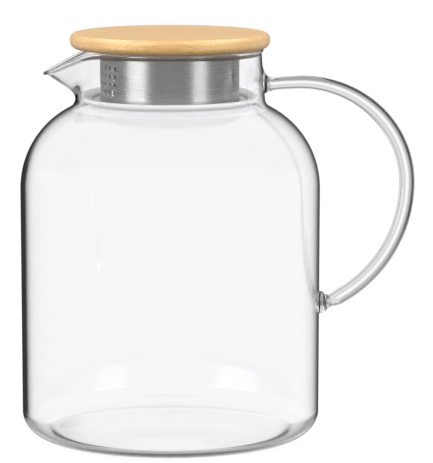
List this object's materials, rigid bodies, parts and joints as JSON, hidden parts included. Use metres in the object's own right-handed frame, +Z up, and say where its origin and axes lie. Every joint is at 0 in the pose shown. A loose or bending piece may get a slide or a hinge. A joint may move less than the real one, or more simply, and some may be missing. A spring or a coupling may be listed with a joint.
{
  "type": "glass tea jug",
  "caption": "Tall clear glass tea jug with a pulled spout, an arched glass rod handle and a flat bamboo lid that carries a perforated steel strainer cup with a silicone seal.",
  "frame": {"origin": "centre of the flat underside of the glass base, on the surface that the jug stands on", "axes": "+Z up along the jug's axis, -X towards the spout, +X towards the handle, +Y to the left of the spout as seen from the handle"},
  "size_m": [0.1842, 0.14, 0.1902],
  "materials": {
    "clear_glass": "clear, fire polished",
    "lacquered_bamboo": "satin lacquer",
    "brushed_steel": "brushed round the cup",
    "white_silicone": "translucent white, satin"
  },
  "bodies": {
    "jug": {"glass_body": "clear_glass", "handle_rod": "clear_glass", "upper_handle_weld": "clear_glass", "lower_handle_weld": "clear_glass"},
    "seal": {"silicone_seal": "white_silicone"},
    "lid": {"bamboo_lid": "lacquered_bamboo", "strainer_cup": "brushed_steel", "strainer_screws": "brushed_steel"}
  },
  "joints": [
    {"name": "lid_lift", "type": "slide", "parent": "jug", "child": "seal", "axis": [0, 0, 1], "range_m": [0, 0.06]},
    {"name": "lid_turn", "type": "hinge", "parent": "seal", "child": "lid", "pos_m": [0, 0, 0.158], "axis": [0, 0, 1], "continuous": true}
  ]
}
